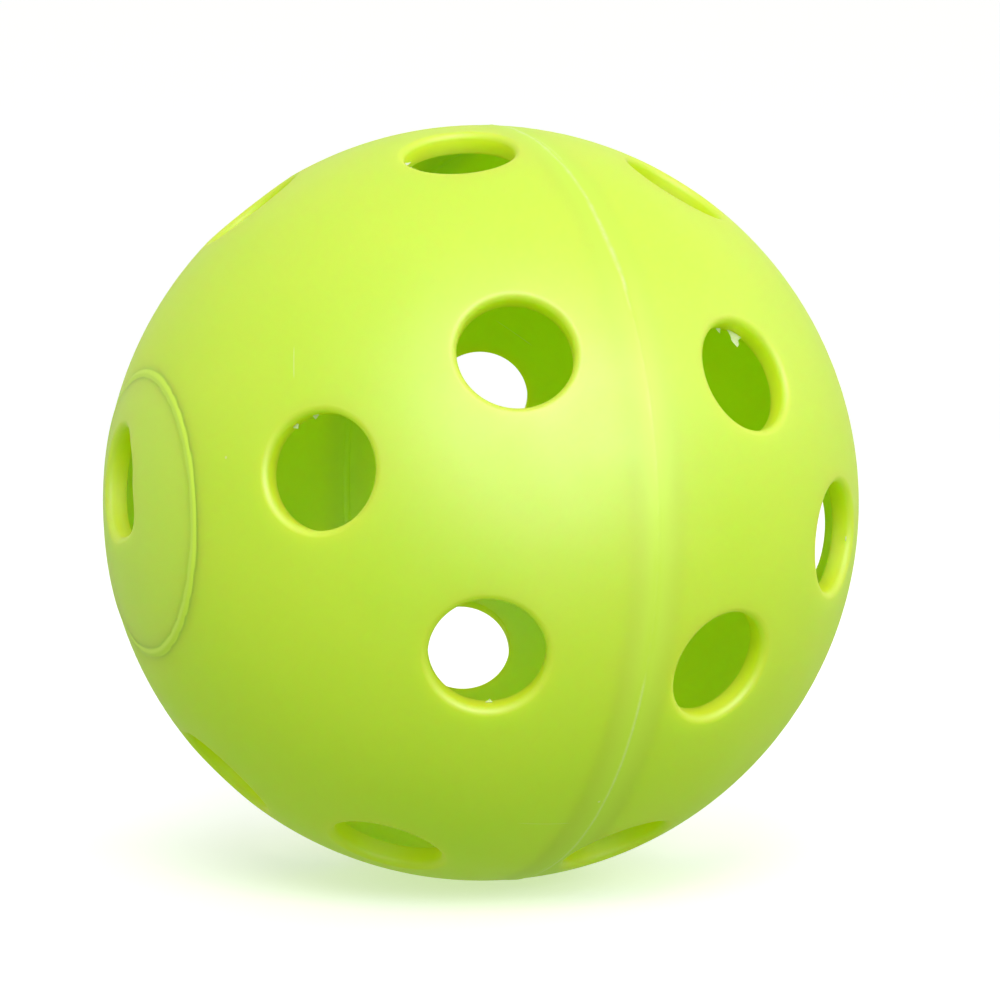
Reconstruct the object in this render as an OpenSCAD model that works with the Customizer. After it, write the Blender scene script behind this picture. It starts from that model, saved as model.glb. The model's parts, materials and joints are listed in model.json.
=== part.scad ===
// Indoor pickleball ball: two moulded half shells joined by a weld bead, drilled with round holes.
// Millimetres. Origin at the ball's centre, X through the two moulded poles, +Z up.

/* [Ball] */
// Outside diameter of the ball
ball_d = 74; // [73:0.5:75.5]
// Thickness of the plastic wall
wall = 2.1; // [1.8:0.1:2.6]

/* [Holes] */
// Diameter of each round hole
hole_d = 10.4; // [9.6:0.1:10.8]
// Radius of the rounding round each hole's outer edge
rim_round = 0.8; // [0.4:0.1:1]
// Holes in the ring nearest each pole
inner_count = 4; // [3:1:4]
// Holes in the ring nearest the seam, on each half
outer_count = 8; // [6:1:8]
// Angle from the pole hole to the four-hole ring
inner_polar = 45.7; // [44:0.1:47]
// Angle from the pole hole to the eight-hole ring on the ringed half
outer_polar_ringed = 73; // [71:0.1:73]
// Angle from the pole hole to the eight-hole ring on the plain half
outer_polar_plain = 70.8; // [70:0.1:73]

/* [Drilling] */
// Turn of the hole pattern about X, against the moulded halves
drill_roll = -1.8; // [-3:0.1:3]
// Turn of the hole pattern about Y, against the moulded halves
drill_pitch = 6.5; // [0:0.1:7]
// Turn of the hole pattern about Z, against the moulded halves
drill_yaw = -3.8; // [-5:0.1:0]
// Lean of the pole hole and four-hole ring on the ringed half, against its eight-hole ring
inner_lean = 2; // [0:0.1:3]
// Lean of the pole hole on the plain half towards -Y, against its rings of holes
pole_lean_plain = 4.8; // [0:0.1:6]
// How far single holes wander from even rings, from not at all to fully
wander = 1; // [0:0.1:1]
// Turn of the four-hole ring on the ringed half past midway between its neighbours
inner_shift_ringed = 4.9; // [0:0.1:6]
// Turn of the four-hole ring on the plain half past midway between its neighbours
inner_shift_plain = -0.3; // [-3:0.1:3]
// Turn of the eight-hole ring on the plain half against the one on the ringed half
outer_shift_plain = 0.9; // [-3:0.1:3]

/* [Weld] */
// Width of the fused bead along X
bead_w = 0.8; // [0.4:0.1:1]
// Height of the bead's crown over the outside of the ball
bead_rise = 0.12; // [0.05:0.01:0.2]
// Height of the bead inside the ball
bead_inner_rise = 0.4; // [0.2:0.05:0.5]

/* [Mould marks] */
// Angle from the pole to the middle of the raised ring on the ringed half
ring_polar = 20.8; // [19:0.1:22]
// Width of the raised ring
ring_w = 0.9; // [0.6:0.1:1.2]
// Height of the raised ring over the ball's surface
ring_rise = 0.14; // [0.08:0.01:0.2]

/* [Hidden] */
$fn = 96;
ball_r = ball_d / 2;
inner_r = ball_r - wall;
hole_r = hole_d / 2;
// height of the rounding's centre, a little high so that its arc crosses the surface
round_lift = 0.04;
round_z = sqrt(pow(ball_r - rim_round, 2) - pow(hole_r + rim_round, 2)) + round_lift;
// the cutter runs from inside the shell to outside it
cut_low = inner_r - 3;
cut_high = ball_r + 2;
// arc of a low crown: radius from its width and rise
function crown_r(width, rise) = (pow(width / 2, 2) + pow(rise, 2)) / (2 * rise);
bead_edge_r = sqrt(pow(ball_r, 2) - pow(bead_w / 2, 2));
bead_foot_r = sqrt(pow(inner_r, 2) - pow(bead_w / 2, 2));
outer_crown_r = crown_r(bead_w, bead_rise);
inner_crown_r = crown_r(bead_w, bead_inner_rise);
ring_crown_r = crown_r(ring_w, ring_rise);
// holes drilled off their even places, each as [hole, angle from the pole, turn] in degrees
strays_ringed_inner = [[1, 2.2, 0.9], [3, 2.5, -5.4]];
strays_ringed_outer = [[6, -0.2, -2.7]];
strays_plain_outer = [[1, 1.3, -2.6], [3, 1.1, 1], [4, 1.2, 4.7], [6, 2, 3.2]];
function stray(strays, hole, part) = wander * (
    let (found = [for (s = strays) if (s[0] == hole) s[part]]) len(found) > 0 ? found[0] : 0);
plastic = [0.80, 0.93, 0.31];
weld_plastic = [0.84, 0.95, 0.45];

// one hole along +Z: a straight bore with a rounded mouth
module hole_cut() {
    rotate_extrude() {
        translate([0, cut_low]) square([hole_r, cut_high - cut_low]);
        difference() {
            translate([hole_r - 0.5, round_z]) square([rim_round + 0.5, cut_high - round_z]);
            translate([hole_r + rim_round, round_z]) circle(r = rim_round);
        }
    }
}

// puts a hole at an angle from the -X pole, turned from -Y towards +Z
module at_spot(polar, turn) {
    rotate([-turn, 0, 0]) rotate([0, 0, polar]) rotate([0, -90, 0]) children();
}

// a ring of evenly spaced holes, apart from the strays; start is the first hole's turn
module hole_ring(count, polar, start, strays = []) {
    for (i = [0 : count - 1])
        at_spot(polar + stray(strays, i, 1), start + i * 360 / count + stray(strays, i, 2))
            hole_cut();
}

// turns the hole pattern against the moulded halves
module drilled() {
    rotate([drill_roll, drill_pitch, drill_yaw]) children();
}

// half of the hollow ball on the -X side, up to the bead
module half_shell() {
    difference() {
        sphere(r = ball_r);
        sphere(r = inner_r);
        translate([-bead_w / 2, -ball_r - 1, -ball_r - 1])
            cube([ball_r + 2, ball_d + 2, ball_d + 2]);
    }
}

// low round-topped ring about the -X pole
module pole_ring() {
    rotate([0, -90, 0]) rotate_extrude() difference() {
        rotate([0, 0, 90 - ring_polar]) translate([ball_r + ring_rise - ring_crown_r, 0])
            circle(r = ring_crown_r);
        circle(r = ball_r - 0.2);
    }
}

module ringed_half() {
    color(plastic) difference() {
        union() {
            half_shell();
            pole_ring();
        }
        drilled() {
            rotate([0, -inner_lean, 0]) {
                at_spot(0, 0) hole_cut();
                hole_ring(inner_count, inner_polar, inner_shift_ringed, strays_ringed_inner);
            }
            hole_ring(outer_count, outer_polar_ringed, 180 / outer_count, strays_ringed_outer);
        }
    }
}

module plain_half() {
    color(plastic) difference() {
        mirror([1, 0, 0]) half_shell();
        drilled() mirror([1, 0, 0]) {
            at_spot(pole_lean_plain, 0) hole_cut();
            hole_ring(inner_count, inner_polar, inner_shift_plain);
            hole_ring(outer_count, outer_polar_plain, outer_shift_plain + 180 / outer_count,
                strays_plain_outer);
        }
    }
}

module weld_bead() {
    color(weld_plastic) rotate([0, 90, 0]) rotate_extrude() intersection() {
        translate([0, -bead_w / 2]) square([ball_d, bead_w]);
        union() {
            translate([bead_foot_r, -bead_w]) square([bead_edge_r - bead_foot_r, bead_w * 2]);
            translate([bead_edge_r + bead_rise - outer_crown_r, 0]) circle(r = outer_crown_r);
            translate([bead_foot_r - bead_inner_rise + inner_crown_r, 0]) circle(r = inner_crown_r);
        }
    }
}

ringed_half();
plain_half();
weld_bead();
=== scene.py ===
"""A drilled, moulded pickleball ball: two half shells, the weld between them and the marks that making leaves."""

import json
import math

import bmesh
import bpy
import numpy as np
from bpy.props import FloatProperty, FloatVectorProperty, PointerProperty
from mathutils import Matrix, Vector


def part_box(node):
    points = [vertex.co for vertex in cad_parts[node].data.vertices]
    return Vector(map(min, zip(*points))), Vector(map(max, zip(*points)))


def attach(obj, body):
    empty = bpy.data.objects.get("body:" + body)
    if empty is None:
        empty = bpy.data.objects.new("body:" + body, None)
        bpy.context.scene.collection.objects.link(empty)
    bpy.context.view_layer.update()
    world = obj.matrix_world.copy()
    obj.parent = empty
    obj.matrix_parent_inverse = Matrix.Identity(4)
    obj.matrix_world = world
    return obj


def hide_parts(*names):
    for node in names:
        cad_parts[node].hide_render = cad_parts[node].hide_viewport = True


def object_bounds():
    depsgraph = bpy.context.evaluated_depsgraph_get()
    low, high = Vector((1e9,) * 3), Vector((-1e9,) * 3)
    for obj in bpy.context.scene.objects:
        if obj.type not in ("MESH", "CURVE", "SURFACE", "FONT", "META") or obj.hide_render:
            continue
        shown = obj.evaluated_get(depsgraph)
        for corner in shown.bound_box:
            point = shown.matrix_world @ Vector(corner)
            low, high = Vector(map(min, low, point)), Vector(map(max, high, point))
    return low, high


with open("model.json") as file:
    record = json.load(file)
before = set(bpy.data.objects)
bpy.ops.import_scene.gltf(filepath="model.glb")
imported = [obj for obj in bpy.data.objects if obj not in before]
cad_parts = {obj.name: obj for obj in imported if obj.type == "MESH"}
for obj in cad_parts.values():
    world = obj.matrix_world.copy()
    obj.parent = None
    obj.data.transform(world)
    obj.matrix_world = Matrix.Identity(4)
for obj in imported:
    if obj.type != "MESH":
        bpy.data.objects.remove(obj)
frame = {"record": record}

bl_info = {
    "name": "Pickleball ball",
    "version": (1, 0, 0),
    "blender": (4, 5, 0),
    "location": "3D View > Sidebar > Pickleball",
    "description": "Builds a 26-hole moulded ball, its weld, its flash and its stage around the packed CAD model",
    "category": "Object",
}

MM = 0.001
CAD_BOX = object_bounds()
RECORD = frame["record"]
HOLE_BORE = next(m for m in RECORD["mounts"] if m["name"] == "pole_hole_ringed")["dims"]["r_mm"] * MM
JOINT_GAP = abs(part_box("ringed_half")[1].x)
BALL_RADIUS = math.hypot(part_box("ringed_half")[1].z, JOINT_GAP)
WELD_RISE = CAD_BOX[1].z - BALL_RADIUS
X_AXIS, Y_AXIS, Z_AXIS = np.eye(3)


# ---------------------------------------------------------------- small helpers


def linear(code):
    """An sRGB hex colour as linear light: each channel over 12.92 when dark, else ((c + 0.055) / 1.055) to 2.4."""
    channels = np.array([int(code[i : i + 2], 16) for i in (1, 3, 5)]) / 255
    light = np.where(channels <= 0.04045, channels / 12.92, ((channels + 0.055) / 1.055) ** 2.4)
    return (*light.tolist(), 1.0)


def unit(v):
    """The vector, or each row of an array of vectors, at length one."""
    v = np.asarray(v, float)
    return v / np.linalg.norm(v, axis=-1, keepdims=True)


def step(low, high, x):
    """A smooth step: 0 below low, 1 above high, and 3t^2 - 2t^3 between."""
    t = np.clip((np.asarray(x, float) - low) / (high - low), 0, 1)
    return t * t * (3 - 2 * t)


def across(axis):
    """Two unit vectors square to the axis and to each other, turning right-handed about it."""
    u = unit(np.cross(axis, X_AXIS if abs(axis[0]) < 0.7 else Z_AXIS))
    return u, np.cross(axis, u)


def uneven(turn, knots, seed):
    """A random line round a circle: heights from 0 to 1 at evenly spaced knots, joined by smooth steps."""
    heights = np.random.default_rng(seed).random(knots)
    place = (turn / (2 * np.pi) % 1) * knots
    knot = np.floor(place).astype(int)
    share = step(0, 1, place - knot)
    return heights[knot % knots] * (1 - share) + heights[(knot + 1) % knots] * share


def toward(azimuth, elevation):
    """The unit direction of a place round the ball: azimuth 0 is in front, at -Y, and 90 at +X, in degrees."""
    a, e = math.radians(azimuth), math.radians(elevation)
    return Vector((math.sin(a) * math.cos(e), -math.cos(a) * math.cos(e), math.sin(e)))


def grid_faces(rows, columns, close_rows=False, close_columns=False):
    """Quads between neighbouring points of a grid, which may join up on itself either way."""
    r = np.arange(rows if close_rows else rows - 1)[:, None]
    c = np.arange(columns if close_columns else columns - 1)[None, :]
    r2, c2 = (r + 1) % rows, (c + 1) % columns
    quads = np.stack([r * columns + c, r * columns + c2, r2 * columns + c2, r2 * columns + c], axis=-1)
    return quads.reshape(-1, 4)


def make_piece(name, points, faces, material, marks=None, crease=50):
    """Puts a surface into a mesh: doubled points merged, faces outwards, creases sharp, riding on the ball."""
    old = bpy.data.objects.get(name)
    if old:
        bpy.data.objects.remove(old)
    mesh = bpy.data.meshes.new(name)
    mesh.from_pydata(points, [], faces, shade_flat=False)
    for mark, values in (marks or {}).items():
        mesh.attributes.new(mark, "FLOAT", "POINT").data.foreach_set("value", np.ravel(values).astype(np.float32))
    shape = bmesh.new()
    shape.from_mesh(mesh)
    bmesh.ops.remove_doubles(shape, verts=shape.verts, dist=0.0005 * MM)
    if shape.calc_volume(signed=True) < 0:
        bmesh.ops.reverse_faces(shape, faces=shape.faces)
    if any(not edge.is_manifold for edge in shape.edges):
        raise RuntimeError(f"{name} is not closed")
    shape.to_mesh(mesh)
    shape.free()
    mesh.set_sharp_from_angle(angle=math.radians(crease))
    piece = bpy.data.objects.new(name, mesh)
    bpy.context.scene.collection.objects.link(piece)
    mesh.materials.append(material)
    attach(piece, "root")
    return piece


# ---------------------------------------------------------------- the drilled shell


def hole_axes(side):
    """Unit directions of one half's holes: its pole bore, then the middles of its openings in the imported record."""
    word = "ringed" if side < 0 else "plain"
    pole = next(m["axis"] for m in RECORD["mounts"] if m["name"] == f"pole_hole_{word}")
    boxes = [o["box_m"] for o in RECORD["physics"]["openings"] if o["name"].startswith(word)]
    return unit(np.vstack([[pole], np.mean(boxes, axis=1)]))


def clipped_arc(a, b, c, normals, levels):
    """The stretch of the circle c + a cos t + b sin t on which normal . p is at least its level for every normal.
    Each normal allows one arc, about its nearest point and acos of the level's share wide, and the arcs are crossed."""
    middle = np.arctan2(normals @ b, normals @ a)
    half = np.arccos(np.clip((levels - normals @ c) / np.hypot(normals @ a, normals @ b), -1, 1))
    offset = (middle - middle[0] + np.pi) % (2 * np.pi) - np.pi
    return middle[0] + (offset - half).max(), middle[0] + (offset + half).min()


def cell_loops(axes, side, cut, spacing):
    """One closed loop of unit directions round each hole, halfway to its neighbours and to the joint.
    Two holes share the great circle halfway between them, and the joint is the small circle at the height cut.
    Each shared edge is sampled once, so that neighbouring cells meet point to point."""
    joint, shared = side * X_AXIS, []
    for i in range(len(axes)):
        for j in range(i, len(axes)):
            others = [k for k in range(len(axes)) if k not in (i, j)]
            normals, levels = axes[i] - axes[others], np.zeros(len(others))
            if i == j:
                ring = math.sqrt(1 - cut * cut)
                a, b, c = ring * Y_AXIS, ring * Z_AXIS, cut * joint
            else:
                a = unit(axes[i] + axes[j])
                b, c = np.cross(unit(axes[i] - axes[j]), a), 0 * a
                normals, levels = np.vstack([normals, joint]), np.append(levels, cut)
            low, high = clipped_arc(a, b, c, normals, levels)
            if high - low > 0.1 * spacing:
                t = np.linspace(low, high, math.ceil((high - low) / spacing) + 1)[:, None]
                shared.append((i, j, c + a * np.cos(t) + b * np.sin(t)))
    # Corners that almost meet, because the edge between them was too short to keep, are drawn together.
    ends = np.vstack([points[[0, -1]] for _, _, points in shared])
    near = np.linalg.norm(ends[:, None] - ends[None], axis=-1) < 0.12 * spacing
    for (_, _, points), pair in zip(shared, unit(near @ ends).reshape(-1, 2, 3)):
        points[[0, -1]] = pair
    edges = [[(points, i == j) for i, j, points in shared if k in (i, j)] for k in range(len(axes))]
    loops = []
    for axis, own in zip(axes, edges):
        u, v = across(axis)
        own = [(p if np.cross(p[0], p[-1]) @ axis > 0 else p[::-1], on_joint) for p, on_joint in own]
        own.sort(key=lambda edge: math.atan2(edge[0][len(edge[0]) // 2] @ v, edge[0][len(edge[0]) // 2] @ u))
        loop = np.vstack([p[:-1] for p, _ in own])
        on_joint = np.concatenate([np.full(len(p) - 1, flag) for p, flag in own])
        loops.append((loop, on_joint))
    return loops


def drilled_cell(axis, loop, side, radius, wall, bore, mouth, lip):
    """The shell round one hole as one grid. Each column keeps its own turn about the hole's axis and runs from the
    cell's edge over the outer sphere, round the mouth's arc, down the bore, round the small inner lip and back over
    the inner sphere. An arc of radius q that meets a sphere of radius S and a bore of radius b has its centre b + q
    off the axis and S - q from the ball's middle, or S + q on the inner sphere."""
    u, v = across(axis)
    turn = np.arctan2(loop @ v, loop @ u)
    edge = np.arccos(np.clip(loop @ axis, -1, 1))
    bore = bore(turn) if callable(bore) else np.full_like(turn, bore)
    mouth = np.minimum(mouth, 0.95 * (radius * np.sin(edge) - bore) / (1 + np.sin(edge)))
    inside = radius - wall
    inner_x = side * loop[:, 0]
    inner_x = inner_x + (JOINT_GAP / inside - JOINT_GAP / radius) * (1 - step(0, 0.03, inner_x - JOINT_GAP / radius))
    shrink = np.sqrt((1 - inner_x**2) / (1 - loop[:, 0] ** 2))
    inner = np.column_stack([side * inner_x, loop[:, 1] * shrink, loop[:, 2] * shrink])
    edge_in = np.arccos(np.clip(inner @ axis, -1, 1))
    lip = np.minimum(lip, 0.95 * (inside * np.sin(edge_in) - bore) / (1 - np.sin(edge_in)))
    off, up = bore + mouth, np.sqrt((radius - mouth) ** 2 - (bore + mouth) ** 2)
    off_in, up_in = bore + lip, np.sqrt((inside + lip) ** 2 - (bore + lip) ** 2)
    start, start_in = np.arctan2(off, up), np.arctan2(off_in, up_in)

    def rows(count):
        """Even steps from above 0 to 1, as a column: one for each new row of a part of the profile."""
        return np.linspace(0, 1, count + 1)[1:, None]

    # The outer rows crowd towards the mouth, where the surface starts to bend.
    t = 1 - (1 - np.linspace(0, 1, 12)[:, None]) ** 1.4
    angle = edge + (start - edge) * t
    parts = [(radius * np.sin(angle), radius * np.cos(angle), 0 * angle)]
    angle = (np.pi / 2 - start) + (np.pi / 2 + start) * rows(10)
    parts.append((off + mouth * np.cos(angle), up + mouth * np.sin(angle), 0 * angle + rows(10)))
    parts.append((bore + 0 * rows(5), up + (up_in - up) * rows(5), 0 * turn + np.ones((5, 1))))
    angle = np.pi + (np.pi / 2 - start_in) * rows(4)
    parts.append((off_in + lip * np.cos(angle), up_in + lip * np.sin(angle), 0 * angle + 1 - rows(4)))
    angle = start_in + (edge_in - start_in) * rows(9)
    parts.append((inside * np.sin(angle), inside * np.cos(angle), 0 * angle))
    away, along, cut = (np.vstack([part[k] for part in parts]) for k in range(3))
    outward = np.cos(turn)[:, None] * u + np.sin(turn)[:, None] * v
    points = along[..., None] * axis + away[..., None] * outward
    points[0], points[-1] = radius * loop, inside * inner
    return points, cut


def pole_bore(axis, sizes):
    """The radius of the moulded pole's bore at each turn about its axis. The gate's stub was left standing along the
    side that faces -Y, as a smooth hump of exp(-t^4), and tore out a rounded lobe below it, exp(-t^2). Both places
    are clock angles in degrees: 0 faces up and 90 faces -Y."""
    stub_place, stub_reach = 66, 42
    tear_place, tear_reach = 131, 22
    u, v = across(axis)
    right = np.cross(unit(Z_AXIS - axis * axis[2]), axis)

    def radius(turn):
        outward = np.cos(turn)[:, None] * u + np.sin(turn)[:, None] * v
        clock = np.degrees(np.arctan2(outward @ right, outward @ np.cross(axis, right)))
        stub = np.exp(-(((clock - stub_place) / stub_reach) ** 4))
        torn = np.exp(-(((clock - tear_place) / tear_reach) ** 2))
        return HOLE_BORE - sizes.gate_stub * stub + sizes.gate_tear * torn

    return radius


def half_shell(side, sizes):
    """All thirteen cells of one half, and the narrow face that closes the shell along the joint."""
    axes = hole_axes(side)
    points, faces, cuts, first = [], [], [], 0
    loops = cell_loops(axes, side, JOINT_GAP / BALL_RADIUS, sizes.mesh_spacing / BALL_RADIUS)
    for hole, (axis, (loop, on_joint)) in enumerate(zip(axes, loops)):
        bore = pole_bore(axis, sizes) if side < 0 and hole == 0 else HOLE_BORE
        grid, cut = drilled_cell(axis, loop, side, BALL_RADIUS, sizes.wall, bore, sizes.mouth_round, sizes.lip_round)
        rows, columns = grid.shape[:2]
        k = np.flatnonzero(on_joint)
        last = (rows - 1) * columns
        end = np.column_stack([last + k, last + (k + 1) % columns, (k + 1) % columns, k])
        faces.append(first + np.vstack([grid_faces(rows, columns, close_columns=True), end]))
        points.append(grid.reshape(-1, 3))
        cuts.append(cut.ravel())
        first += rows * columns
    return np.vstack(points), np.vstack(faces), np.concatenate(cuts)


# ---------------------------------------------------------------- ring, weld and flash


def ring_surface(sizes):
    """A low ridge round the -X axis. At the angle a from that axis its height is a cosine-squared bump about the
    ring's own angle, and it is closed underneath, inside the wall."""
    turn = np.linspace(0, 2 * np.pi, 480, endpoint=False)[None, :]
    share = np.linspace(-1, 1, 17)[:, None]
    half = sizes.ring_width / 2 / BALL_RADIUS
    angle = sizes.ring_angle + half * 1.25 * share + 0 * turn
    bump = np.cos(np.clip((angle - sizes.ring_angle) / half, -1, 1) * np.pi / 2) ** 2
    rise = (0.8 + 0.2 * uneven(turn, 40, 11)) * sizes.ring_rise
    height = BALL_RADIUS - 0.004 * MM + (rise + 0.004 * MM) * bump
    height[[0, -1]] -= 0.02 * MM
    below = np.full((2, turn.shape[1]), BALL_RADIUS - 0.3 * MM)
    angle = np.vstack([angle, angle[-1:] - half * 0.2, angle[:1] + half * 0.2])
    height = np.vstack([height, below])
    points = np.stack(
        [-height * np.cos(angle), -height * np.sin(angle) * np.cos(turn), height * np.sin(angle) * np.sin(turn)], -1
    )
    rows, columns = angle.shape
    return points.reshape(-1, 3), grid_faces(rows, columns, close_rows=True, close_columns=True)


def weld_surface(sizes):
    """The weld: a profile carried round the joint. The turn is measured from the front, -Y, up towards +Z. The
    profile runs over the crown from one toe to the other, down one joint face, over the bulge inside and back up.
    The crown is a low flat dome with a fine ridge of squeezed plastic on it, whose place, height and paleness
    wander with the turn. The paleness is partly whitened plastic and partly a painted highlight along the ridge's top."""
    turn = np.linspace(-np.pi, np.pi, 1500, endpoint=False)[None, :]
    degrees = np.degrees(turn)
    # Three stretches stand out: a ragged one over the top, a fine crisp one below the front, and a fainter one behind.
    upper = step(30, 36, degrees) * (1 - step(112, 130, degrees))
    lower = (1 - step(-24, -20, degrees)) * step(-100, -84, degrees)
    back = np.clip(1 - upper - lower, 0, 1) * step(118, 140, np.abs(degrees))
    ragged = uneven(turn, 330, 3)
    strength = upper * (0.35 + 0.65 * ragged) + lower * (0.75 + 0.25 * ragged) + back * (0.2 + 0.5 * ragged)
    strength += (1 - upper) * (1 - lower) * 0.1 * ragged
    wander = 0.16 * MM * (uneven(turn, 90, 5) - 0.5) * (upper + back + 0.3)
    reach = sizes.weld_width / 2 + (0.35 * upper + 0.15 * back) * uneven(turn, 150, 7) * MM
    reach = np.maximum(reach, JOINT_GAP + 0.02 * MM)
    ridge_half = (0.13 + 0.12 * upper * uneven(turn, 200, 9)) * MM

    # The crown. A second, lower ridge runs beside the first where the two halves met a little out of step.
    x = np.linspace(-1, 1, 31)[:, None] * reach
    dome = (1 - (x / reach) ** 2) ** 2
    ridge = np.exp(-(((x - wander) / ridge_half) ** 2)) * dome**0.5
    twin_place = wander + 0.55 * MM
    twin = 0.45 * step(52, 60, degrees) * (1 - step(84, 92, degrees)) * np.exp(-(((x - twin_place) / (0.1 * MM)) ** 2))
    lift = WELD_RISE * (0.10 * dome * strength + 0.55 * strength * ridge + 0.15 * twin * dome)
    height = BALL_RADIUS + np.minimum(lift, 0.98 * WELD_RISE) - 0.003 * MM * (1 - dome)
    # The pale crest is partly whitened plastic and partly a painted highlight along the top of the ridge and its twin.
    pale = 0.4 * np.clip(strength * ridge + twin, 0, 1)

    # Below the crown: a flat seat against each half, and the bulge between them inside the ball.
    inside = BALL_RADIUS - sizes.wall
    y = np.linspace(-1, 1, 9)[:, None]
    seat = np.full((2, 1), JOINT_GAP)
    bulge = inside - sizes.weld_inside * np.sqrt(np.clip(1 - y**2, 0, 1)) + 0 * turn
    x = np.vstack([x, seat + 0 * turn, -y * JOINT_GAP + 0 * turn, -seat + 0 * turn])
    sides = np.array([[BALL_RADIUS - 0.06 * MM], [BALL_RADIUS - 1.0 * MM]])
    height = np.vstack([height, sides + 0 * turn, bulge, sides[::-1] + 0 * turn])
    pale = np.vstack([pale, np.zeros((13, turn.shape[1]))])
    off = np.sqrt(height**2 - x**2)
    points = np.stack([x, -off * np.cos(turn), off * np.sin(turn)], -1)
    rows, columns = x.shape
    return points.reshape(-1, 3), grid_faces(rows, columns, close_rows=True, close_columns=True), pale


def flake_surface(root, along, out, width, length, curl, thickness, seed):
    """A torn scrap of flash. Along t from 0 to 1 it runs from its root, bends up by curl times t squared and narrows to
    a ragged tip; round s it is a thin closed leaf, thickest at the root."""
    t = np.linspace(0, 1, 14)[:, None]
    s = np.linspace(0, 2 * np.pi, 22, endpoint=False)[None, :]
    rng = np.random.default_rng(seed)
    ragged = 1 + 0.5 * np.interp(t, np.linspace(0, 1, 8), rng.random(8) - 0.5)
    half = width / 2 * np.clip(1 - t, 0, 1) ** 0.85 * ragged
    lean = width * 0.35 * (rng.random() - 0.5) * t
    side = unit(np.cross(out, along))
    x = np.cos(s) * half + lean
    z = np.sin(s) * thickness / 2 * (1 - 0.7 * t) + curl * t**2
    points = root + (length * t)[..., None] * along + x[..., None] * side + z[..., None] * out
    points = np.vstack([(root - 0.1 * MM * along)[None].repeat(s.size, 0), points.reshape(-1, 3)])
    return points, grid_faces(len(t) + 1, s.size, close_columns=True)


def bore_edge(side, hole, degrees, depth):
    """A point on a bore's wall: the turn is from the side that faces up, +Z, clockwise seen from outside, and the
    depth is down from the ball's surface. Gives the point, the direction to the bore's axis and the axis."""
    axis = hole_axes(side)[hole]
    up = unit(Z_AXIS - axis * axis[2])
    right = np.cross(up, axis)
    a = math.radians(degrees)
    outward = math.cos(a) * up + math.sin(a) * right
    return HOLE_BORE * outward + math.sqrt((BALL_RADIUS - depth) ** 2 - HOLE_BORE**2) * axis, -outward, axis


# ---------------------------------------------------------------- materials


def add_node(tree, kind, inputs=None, **settings):
    """One shader node: settings are its own properties; inputs are numbers, colours or the sockets that feed it."""
    node = tree.nodes.new(kind)
    for key, value in settings.items():
        setattr(node, key, value)
    for key, value in (inputs or {}).items():
        if isinstance(value, bpy.types.NodeSocket):
            tree.links.new(value, node.inputs[key])
        else:
            node.inputs[key].default_value = value
    return node


def maths(tree, operation, *values, clamp=False):
    """The result of one Math node."""
    return add_node(tree, "ShaderNodeMath", dict(enumerate(values)), operation=operation, use_clamp=clamp).outputs[0]


def blend(tree, share, first, second, kind="MIX"):
    """Two colours mixed: share 0 gives the first and 1 the second."""
    node = add_node(tree, "ShaderNodeMix", {0: share}, data_type="RGBA", blend_type=kind)
    for key, value in ((6, first), (7, second)):
        if isinstance(value, bpy.types.NodeSocket):
            tree.links.new(value, node.inputs[key])
        else:
            node.inputs[key].default_value = value
    return node.outputs[2]


def span(tree, value, from_low, from_high, to_low=0.0, to_high=1.0, kind="SMOOTHSTEP"):
    """The value carried from one range to another and held at its ends."""
    inputs = {0: value, 1: from_low, 2: from_high, 3: to_low, 4: to_high}
    return add_node(tree, "ShaderNodeMapRange", inputs, interpolation_type=kind).outputs[0]


def noise(tree, place, size, detail=2.0, roughness=0.5):
    """Soft noise whose lumps are about the given size in metres across."""
    inputs = {"Vector": place, "Scale": 1 / size, "Detail": detail, "Roughness": roughness}
    return add_node(tree, "ShaderNodeTexNoise", inputs).outputs["Fac"]


def new_material(name, code):
    """An empty material with one Principled shader, and the Object coordinates that its patterns read."""
    material = bpy.data.materials.get(name) or bpy.data.materials.new(name)
    material.use_nodes = True
    tree = material.node_tree
    tree.nodes.clear()
    output = add_node(tree, "ShaderNodeOutputMaterial")
    shader = add_node(tree, "ShaderNodeBsdfPrincipled")
    tree.links.new(shader.outputs[0], output.inputs["Surface"])
    material.diffuse_color = code
    return material, tree, shader, add_node(tree, "ShaderNodeTexCoord").outputs["Object"]


def scratch(tree, place, first, last, half):
    """A hairline between two points on the ball: 1 on the line and 0 past its half width, faded at its ends."""
    first, last = Vector(first) * BALL_RADIUS, Vector(last) * BALL_RADIUS
    middle, along = (first + last) / 2, (last - first).normalized()
    reach = (last - first).length / 2
    offset = add_node(tree, "ShaderNodeVectorMath", {0: place, 1: middle}, operation="SUBTRACT").outputs[0]
    run = add_node(tree, "ShaderNodeVectorMath", {0: offset, 1: along}, operation="DOT_PRODUCT").outputs["Value"]
    side = along.cross(middle.normalized())
    gap = add_node(tree, "ShaderNodeVectorMath", {0: offset, 1: side}, operation="DOT_PRODUCT").outputs["Value"]
    up = add_node(tree, "ShaderNodeVectorMath", {0: place, 1: middle.normalized()}, operation="DOT_PRODUCT")
    front = maths(tree, "GREATER_THAN", up.outputs["Value"], BALL_RADIUS * 0.9)
    line = span(tree, maths(tree, "ABSOLUTE", gap), 0.0, half, 1.0, 0.0)
    ends = span(tree, maths(tree, "ABSOLUTE", run), reach * 0.6, reach, 1.0, 0.0)
    return maths(tree, "MULTIPLY", maths(tree, "MULTIPLY", line, ends), front)


# Scattered light can't cross from one piece to the next, so the milky shading fades in over this reach of the joint,
# and the opaque plastic beside it is toned by the share of light that the milky wall gives back.
JOINT_FADE = (JOINT_GAP, JOINT_GAP + 2.8 * MM)
JOINT_TONE = (0.97, 0.98, 1.0, 1.0)


def joint_distance(tree, place):
    """How far a point is from the joint's plane, in metres."""
    x = add_node(tree, "ShaderNodeSeparateXYZ", {0: place}).outputs[0]
    return maths(tree, "ABSOLUTE", x)


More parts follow.
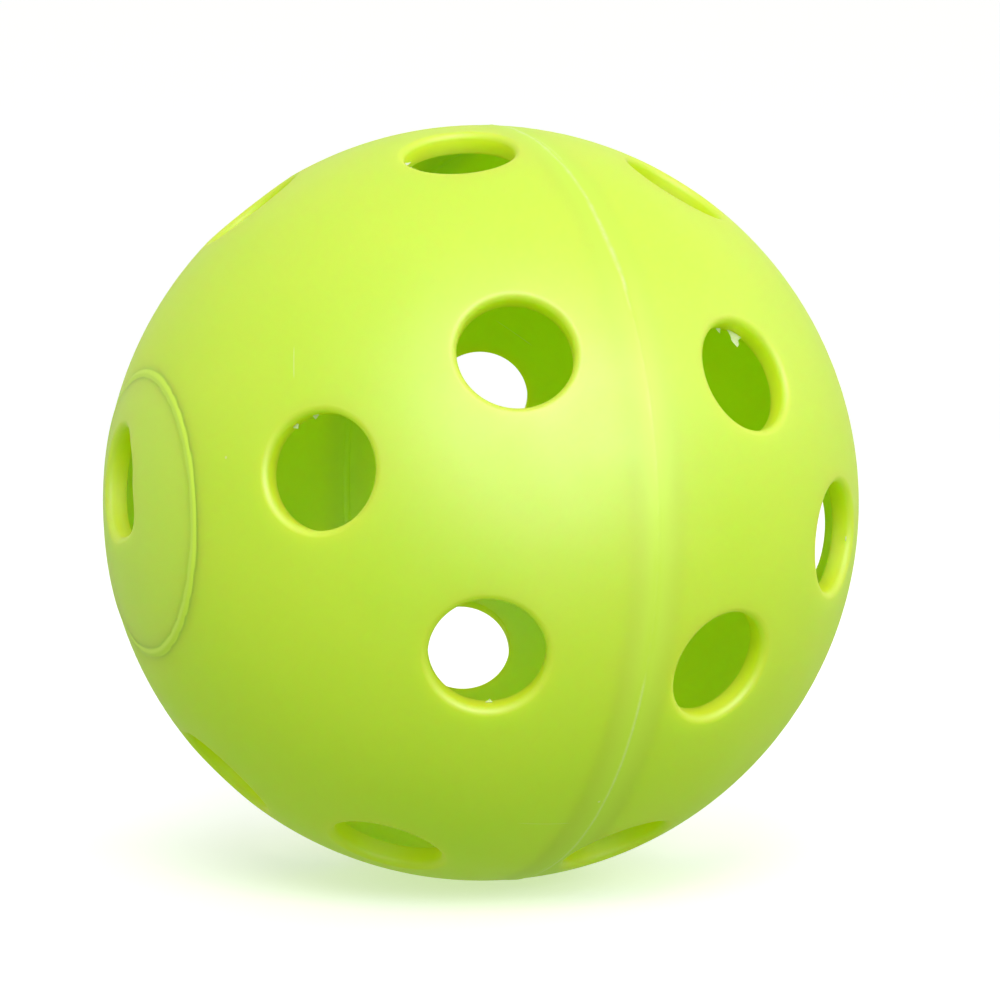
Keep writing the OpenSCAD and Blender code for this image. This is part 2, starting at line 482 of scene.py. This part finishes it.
def lime_plastic(tree, place, colours):
    """The lime through its thickness. Pigment never mixes quite evenly, so slow clouds a centimetre or two across
    shift the skin a little. Under the skin, in bores and on the inner surface, the lime is brighter and purer: this is
    painted light, standing in for the light that comes through the milky wall into the holes and the inside."""
    clouds = span(tree, noise(tree, place, 16 * MM, 1.0), 0.35, 0.65)
    skin = blend(tree, maths(tree, "MULTIPLY", clouds, 0.35), (*colours.shell, 1), (*colours.shell_deep, 1))
    # Painted light: below the skin the brighter, purer inside lime stands in for light that comes through the wall.
    out = add_node(tree, "ShaderNodeVectorMath", {0: place}, operation="LENGTH").outputs["Value"]
    under = span(tree, out, BALL_RADIUS - 1.0 * MM, BALL_RADIUS - 0.3 * MM, 1.0, 0.0)
    near = span(tree, joint_distance(tree, place), *JOINT_FADE, 1.0, 0.0)
    skin = blend(tree, near, skin, JOINT_TONE, kind="MULTIPLY")
    return blend(tree, under, skin, (*colours.inside, 1))


def moulded_polyethylene(colours):
    """Pigmented polyethylene from a polished mould: satin, and milky enough that light creeps a millimetre through
    it, which lifts every drilled edge and lights the wall from inside."""
    material, tree, shader, place = new_material("moulded_polyethylene", (*colours.shell, 1))
    colour = lime_plastic(tree, place, colours)

    # Inside the moulded ring the surface is from a separate insert and is a little greyer.
    x = add_node(tree, "ShaderNodeSeparateXYZ", {0: place}).outputs[0]
    insert = span(tree, x, -0.95 * BALL_RADIUS, -0.93 * BALL_RADIUS, 0.10, 0.0)
    colour = blend(tree, insert, colour, linear("#C6D9A0"))

    # Handling leaves a few specks of grit and pale nicks.
    for size, spread, code, strength in ((8.0 * MM, 0.018, "#8CA63A", 0.4), (7.5 * MM, 0.024, "#F2FACC", 0.5)):
        inputs = {"Vector": place, "Scale": 1 / size, "Randomness": 1.0}
        dots = add_node(tree, "ShaderNodeTexVoronoi", inputs).outputs["Distance"]
        colour = blend(tree, span(tree, dots, spread * 0.5, spread, strength, 0.0), colour, linear(code))

    # Hairline scuffs show as thin paler lines.
    lines = [
        scratch(tree, place, (-0.736, -0.521, 0.432), (-0.752, -0.560, 0.350), 0.07 * MM),
        scratch(tree, place, (-0.202, -0.634, -0.746), (-0.047, -0.655, -0.754), 0.06 * MM),
        scratch(tree, place, (0.52, 0.74, 0.43), (0.40, 0.76, 0.51), 0.06 * MM),
        scratch(tree, place, (-0.36, 0.80, -0.48), (-0.22, 0.86, -0.46), 0.07 * MM),
    ]
    marks = lines[0]
    for line in lines[1:]:
        marks = maths(tree, "MAXIMUM", marks, line)
    colour = blend(tree, maths(tree, "MULTIPLY", marks, 0.4), colour, linear("#F4FBD2"))
    tree.links.new(colour, shader.inputs["Base Color"])

    # The drill leaves its bores duller than the mould leaves the skin.
    cut = add_node(tree, "ShaderNodeAttribute", attribute_name="cut", attribute_type="GEOMETRY").outputs["Fac"]
    skin = span(tree, noise(tree, place, 6 * MM, 3.0), 0.3, 0.7, 0.45, 0.53, kind="LINEAR")
    rough = maths(tree, "ADD", skin, maths(tree, "MULTIPLY", cut, 0.12))
    tree.links.new(maths(tree, "ADD", rough, maths(tree, "MULTIPLY", marks, 0.15)), shader.inputs["Roughness"])

    # Light spreads a few millimetres in the wall. The thin ring has no depth of its own, so only the shells carry it.
    joint = span(tree, joint_distance(tree, place), *JOINT_FADE, 0.0, 1.0)
    deep = add_node(tree, "ShaderNodeAttribute", attribute_name="deep", attribute_type="GEOMETRY").outputs["Fac"]
    tree.links.new(maths(tree, "MULTIPLY", joint, deep), shader.inputs["Subsurface Weight"])
    shader.inputs["Subsurface Radius"].default_value = (0.75, 1.2, 0.3)
    shader.inputs["Subsurface Scale"].default_value = 4.0 * MM
    shader.inputs["IOR"].default_value = 1.51

    # Two scales of relief: shrinkage waves some millimetres long, and the fine skin of the mould.
    waves = noise(tree, place, 7 * MM, 1.0)
    skin_relief = noise(tree, place, 0.5 * MM, 3.0)
    broad = add_node(tree, "ShaderNodeBump", {"Height": waves, "Strength": 1.0, "Distance": 0.03 * MM})
    inputs = {"Height": skin_relief, "Strength": 1.0, "Distance": 0.002 * MM, "Normal": broad.outputs[0]}
    fine = add_node(tree, "ShaderNodeBump", inputs)
    tree.links.new(fine.outputs[0], shader.inputs["Normal"])
    return material


def remelted_polyethylene(colours):
    """The weld's plastic: the same lime where it lies flush, and paler along its crest, partly whitened where it was
    squeezed out thin and partly a painted highlight along the ridge.
    """
    material, tree, shader, place = new_material("remelted_polyethylene", (*colours.shell, 1))
    colour = lime_plastic(tree, place, colours)
    pale = add_node(tree, "ShaderNodeAttribute", attribute_name="pale", attribute_type="GEOMETRY").outputs["Fac"]
    grain = span(tree, noise(tree, place, 0.35 * MM, 3.0), 0.35, 0.65, 0.7, 1.0)
    # Paler along the ridge: partly whitened plastic, partly a painted highlight on the crest.
    colour = blend(tree, maths(tree, "MULTIPLY", pale, grain, clamp=True), colour, (*colours.weld, 1))
    tree.links.new(colour, shader.inputs["Base Color"])
    rough = span(tree, noise(tree, place, 1.2 * MM, 3.0), 0.3, 0.7, 0.36, 0.5, kind="LINEAR")
    tree.links.new(rough, shader.inputs["Roughness"])
    shader.inputs["IOR"].default_value = 1.51
    relief = noise(tree, place, 0.3 * MM, 3.0)
    height = maths(tree, "MULTIPLY", relief, pale)
    bump = add_node(tree, "ShaderNodeBump", {"Height": height, "Strength": 1.0, "Distance": 0.03 * MM})
    tree.links.new(bump.outputs[0], shader.inputs["Normal"])
    return material


def torn_polyethylene(colours):
    """Torn flash: thin scraps that stretching has whitened, with a fibrous, dull surface."""
    material, tree, shader, place = new_material("torn_polyethylene", (*colours.flash, 1))
    fibres = noise(tree, place, 0.25 * MM, 4.0)
    tint = span(tree, fibres, 0.35, 0.65, 0.0, 0.45)
    colour = blend(tree, tint, (*colours.flash, 1), (*colours.shell, 1))
    tree.links.new(colour, shader.inputs["Base Color"])
    tree.links.new(span(tree, fibres, 0.3, 0.7, 0.45, 0.65, kind="LINEAR"), shader.inputs["Roughness"])
    shader.inputs["IOR"].default_value = 1.51
    shader.inputs["Subsurface Weight"].default_value = 0.6
    shader.inputs["Subsurface Radius"].default_value = (1.0, 1.0, 0.8)
    shader.inputs["Subsurface Scale"].default_value = 0.4 * MM
    bump = add_node(tree, "ShaderNodeBump", {"Height": fibres, "Strength": 1.0, "Distance": 0.03 * MM})
    tree.links.new(bump.outputs[0], shader.inputs["Normal"])
    return material


def studio_paper(colours):
    """Matt white background paper: a very faint tooth keeps it from looking like a void."""
    material, tree, shader, place = new_material("studio_paper", (*colours.floor, 1))
    tooth = noise(tree, place, 0.8 * MM, 3.0)
    shade = tuple(c * 0.97 for c in colours.floor)
    tree.links.new(blend(tree, tooth, (*colours.floor, 1), (*shade, 1)), shader.inputs["Base Color"])
    shader.inputs["Roughness"].default_value = 0.85
    shader.inputs["IOR"].default_value = 1.45
    shader.inputs["Emission Color"].default_value = (*colours.floor, 1)
    shader.inputs["Emission Strength"].default_value = 0.42
    bump = add_node(tree, "ShaderNodeBump", {"Height": tooth, "Strength": 0.5, "Distance": 0.02 * MM})
    tree.links.new(bump.outputs[0], shader.inputs["Normal"])
    return material


# ---------------------------------------------------------------- stage

# Name, azimuth and elevation in degrees, distance and width in metres, watts, and whether only gloss sees it. The
# large panel is for gloss alone: it lays a wide pale sheen across the upper middle of the ball.
SOFTBOXES = (
    ("key_softbox", -28, 42, 0.85, 0.42, 2.4, False),
    ("second_softbox", 10, 27, 0.85, 0.36, 1.3, False),
    ("side_fill", 75, 25, 0.90, 0.45, 1.1, False),
    ("sheen_panel", -4, 28, 0.85, 1.1, 19.0, True),
)


def aim(thing, place):
    """Puts a light or the camera in its place, looking at the ball's middle."""
    thing.location = place
    thing.rotation_euler = (-thing.location).to_track_quat("-Z", "Y").to_euler()
    return thing


def paper_floor(material):
    """A wide paper dish under the ball: flat to a metre out, then the start of a circle half a metre in radius."""
    turn = np.linspace(0, 2 * np.pi, 160, endpoint=False)[None, :]
    flat = np.linspace(0, 1.0, 12)[1:, None]
    bend = np.linspace(0, np.pi / 2.2, 20)[1:, None]
    out = np.vstack([flat, 1.0 + 0.5 * np.sin(bend)]) + 0 * turn
    up = np.vstack([0 * flat, 0.5 * (1 - np.cos(bend))]) + CAD_BOX[0].z + 0 * turn
    points = np.stack([out * np.cos(turn), out * np.sin(turn), up], -1).reshape(-1, 3)
    rows, columns = out.shape
    faces = grid_faces(rows, columns, close_columns=True).tolist() + [list(range(columns))[::-1]]
    mesh = bpy.data.meshes.new("paper_floor")
    mesh.from_pydata(points.tolist(), [], faces, shade_flat=False)
    mesh.materials.append(material)
    floor = bpy.data.objects.new("paper_floor", mesh)
    # The paper is only a backdrop: it takes the shadow but throws no light back on to the ball.
    floor.visible_diffuse = floor.visible_glossy = False
    return floor


def softbox(name, place, size, power, gloss_only):
    """A round soft light that faces the ball."""
    lamp = bpy.data.lights.new(name, "AREA")
    lamp.shape, lamp.size, lamp.energy = "DISK", size, power
    light = aim(bpy.data.objects.new(name, lamp), place)
    light.visible_diffuse = not gloss_only
    return light


def studio_air():
    """The room: bright at eye level and above, and below that dimmer, with the ball's own green from the table."""
    world = bpy.data.worlds.new("studio_air")
    world.use_nodes = True
    tree = world.node_tree
    height = add_node(tree, "ShaderNodeSeparateXYZ", {0: add_node(tree, "ShaderNodeTexCoord").outputs["Generated"]})
    strength = span(tree, height.outputs[2], -0.9, 0.5, 0.56, 0.72)
    air = blend(tree, span(tree, height.outputs[2], -0.8, 0.1), linear("#D8F2AA"), linear("#F7FAFA"))
    background = tree.nodes["Background"]
    tree.links.new(air, background.inputs["Color"])
    tree.links.new(strength, background.inputs["Strength"])
    return world


def studio_camera():
    """A long lens eight ball radii away, a little above the ball and to the left of its seam."""
    lens = bpy.data.cameras.new("camera")
    lens.lens, lens.sensor_width, lens.clip_start = 107.98, 36.0, 0.01
    lens.shift_x, lens.shift_y = 0.019, 0.0028
    return aim(bpy.data.objects.new("camera", lens), toward(-24.9, 3.88) * 8 * BALL_RADIUS)


# ---------------------------------------------------------------- sizes and colours a user would change


def length(name, text, value, low, high):
    """A length in metres, shown in the scene's unit."""
    return FloatProperty(
        name=name, description=text, default=value, min=low, max=high, subtype="DISTANCE", unit="LENGTH", precision=5
    )


def paint(name, text, code):
    """A colour, given as sRGB hex and kept as linear light."""
    return FloatVectorProperty(
        name=name, description=text, default=linear(code)[:3], size=3, min=0, max=1, subtype="COLOR"
    )


class BallSizes(bpy.types.PropertyGroup):
    """Sizes of the ball's small features. The ball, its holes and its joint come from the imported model."""

    wall: length("Wall", "Thickness of the moulded shell", 2.1 * MM, 1.2 * MM, 3.5 * MM)
    mouth_round: length("Mouth rounding", "Radius of each hole's outer edge", 0.6 * MM, 0.1 * MM, 1.2 * MM)
    lip_round: length("Lip rounding", "Radius of each hole's inner edge", 0.12 * MM, 0.03 * MM, 0.4 * MM)
    mesh_spacing: length("Mesh spacing", "Length of a mesh edge along the cells", 0.54 * MM, 0.3 * MM, 3 * MM)
    ring_angle: FloatProperty(
        name="Ring angle",
        description="Angle of the raised ring from the ringed half's own axis",
        default=math.radians(20.8),
        min=math.radians(18),
        max=math.radians(30),
        subtype="ANGLE",
        unit="ROTATION",
    )
    ring_width: length("Ring width", "Width of the raised ring at its foot", 0.9 * MM, 0.3 * MM, 2 * MM)
    ring_rise: length("Ring height", "Height of the raised ring", 0.08 * MM, 0.02 * MM, 0.14 * MM)
    weld_width: length("Weld width", "Least width of the weld's crown", 0.84 * MM, 0.8 * MM, 2 * MM)
    weld_inside: length("Weld bulge", "Height of the weld's bulge inside the ball", 0.12 * MM, 0.05 * MM, 0.8 * MM)
    gate_stub: length("Gate stub", "How far the gate's stub stands into the pole hole", 0.9 * MM, 0, 1.5 * MM)
    gate_tear: length("Gate tear", "How far the torn lobe beside the stub widens the pole hole", 0.8 * MM, 0, 1.0 * MM)


class BallColours(bpy.types.PropertyGroup):
    """Colours of the ball and of the stage."""

    shell: paint("Shell", "Lime of the moulded shell", "#D2F242")
    shell_deep: paint("Deep shell", "Lime of the deeper clouds in the shell", "#C9EF38")
    # The inside lime is painted light: brighter and purer than the shell, for light that comes through the wall.
    inside: paint("Inside", "Lime of the bores and of the inner surface", "#DEFE0E")
    # The weld colour on the crest is partly whitened plastic and partly a painted highlight along the ridge.
    weld: paint("Weld", "Whitened crest of the weld", "#EEF7C4")
    flash: paint("Flash", "Whitened torn flash", "#EFF5D2")
    floor: paint("Floor", "Pale background paper", "#F4F4F2")


# ---------------------------------------------------------------- operators


class BALL_OT_shells(bpy.types.Operator):
    """Build the two drilled half shells"""

    bl_idname = "pickleball.shells"
    bl_label = "Half shells"

    def execute(self, context):
        sizes, material = context.scene.ball_sizes, moulded_polyethylene(context.scene.ball_colours)
        for name, side, node in (("ringed_shell", -1, "ringed_half"), ("plain_shell", 1, "plain_half")):
            points, faces, cut = half_shell(side, sizes)
            marks = {"cut": cut, "deep": np.ones(len(points))}
            piece = make_piece(name, points, faces, material, marks)
            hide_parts(node)
        return {"FINISHED"}


class BALL_OT_ring(bpy.types.Operator):
    """Build the raised ring round the pole of the ringed half"""

    bl_idname = "pickleball.ring"
    bl_label = "Pole ring"

    def execute(self, context):
        points, faces = ring_surface(context.scene.ball_sizes)
        make_piece("pole_ring", points, faces, bpy.data.materials["moulded_polyethylene"])
        return {"FINISHED"}


class BALL_OT_weld(bpy.types.Operator):
    """Build the weld that joins the two halves"""

    bl_idname = "pickleball.weld"
    bl_label = "Weld line"

    def execute(self, context):
        points, faces, pale = weld_surface(context.scene.ball_sizes)
        material = remelted_polyethylene(context.scene.ball_colours)
        piece = make_piece("weld_line", points, faces, material, {"pale": pale})
        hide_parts("weld_bead")
        return {"FINISHED"}


class BALL_OT_flash(bpy.types.Operator):
    """Build the torn scraps of flash at the drilled holes and on the weld"""

    bl_idname = "pickleball.flash"
    bl_label = "Torn flash"

    def execute(self, context):
        points, faces, first = [], [], 0
        wall = context.scene.ball_sizes.wall
        # side, hole, turn, width, length, curl, share of the depth, thickness in millimetres
        scraps = [
            (1, 5, 26, 1.9, 1.7, 0.5, 0.9, 0.14),
            (1, 5, 4, 0.6, 0.5, 0.1, 0.95, 0.1),
            (-1, 1, -14, 0.7, 0.4, 0.1, 0.6, 0.1),
            (-1, 1, -38, 0.7, 0.45, 0.1, 0.6, 0.1),
            (-1, 6, -114, 0.6, 0.5, 0.1, 0.2, 0.1),
            (-1, 12, 178, 0.6, 0.35, 0.05, 0.8, 0.1),
            (1, 1, 96, 0.5, 0.3, 0.05, 0.3, 0.1),
            (1, 11, -75, 0.8, 0.4, 0.1, 0.3, 0.1),
        ]
        for seed, (side, hole, turn, width, reach, curl, depth, thick) in enumerate(scraps):
            root, inward, out = bore_edge(side, hole, turn, wall * depth)
            grid, quads = flake_surface(root, inward, out, width * MM, reach * MM, curl * MM, thick * MM, seed)
            points.append(grid)
            faces.append(quads + first)
            first += len(grid)
        material = torn_polyethylene(context.scene.ball_colours)
        make_piece("torn_flash", np.vstack(points), np.vstack(faces), material)
        return {"FINISHED"}


class BALL_OT_stage(bpy.types.Operator):
    """Build the floor, the lights and the camera"""

    bl_idname = "pickleball.stage"
    bl_label = "Stage"

    def execute(self, context):
        scene = context.scene
        floor = paper_floor(studio_paper(scene.ball_colours))
        scene.collection.objects.link(floor)
        for name, azimuth, elevation, distance, size, power, gloss_only in SOFTBOXES:
            light = softbox(name, toward(azimuth, elevation) * distance, size, power, gloss_only)
            scene.collection.objects.link(light)
        scene.world = studio_air()
        scene.view_settings.view_transform = "Standard"
        scene.camera = studio_camera()
        scene.collection.objects.link(scene.camera)
        return {"FINISHED"}


class BALL_PT_panel(bpy.types.Panel):
    """Lists the ball's sizes, colours and the steps that build it"""

    bl_idname = "BALL_PT_panel"
    bl_label = "Pickleball ball"
    bl_space_type = "VIEW_3D"
    bl_region_type = "UI"
    bl_category = "Pickleball"

    def draw(self, context):
        for group in (context.scene.ball_sizes, context.scene.ball_colours):
            box = self.layout.box()
            for name in group.__annotations__:
                box.prop(group, name)
        for operator in OPERATORS:
            self.layout.operator(operator.bl_idname)


OPERATORS = (BALL_OT_shells, BALL_OT_ring, BALL_OT_weld, BALL_OT_flash, BALL_OT_stage)
CLASSES = (BallSizes, BallColours, *OPERATORS, BALL_PT_panel)


def register():
    for cls in CLASSES:
        bpy.utils.register_class(cls)
    bpy.types.Scene.ball_sizes = PointerProperty(type=BallSizes)
    bpy.types.Scene.ball_colours = PointerProperty(type=BallColours)


def unregister():
    del bpy.types.Scene.ball_sizes
    del bpy.types.Scene.ball_colours
    for cls in reversed(CLASSES):
        bpy.utils.unregister_class(cls)


def main():
    """Builds every piece in order."""
    register()
    bpy.ops.pickleball.shells()
    bpy.ops.pickleball.ring()
    bpy.ops.pickleball.weld()
    bpy.ops.pickleball.flash()
    bpy.ops.pickleball.stage()


if __name__ == "__main__":
    main()
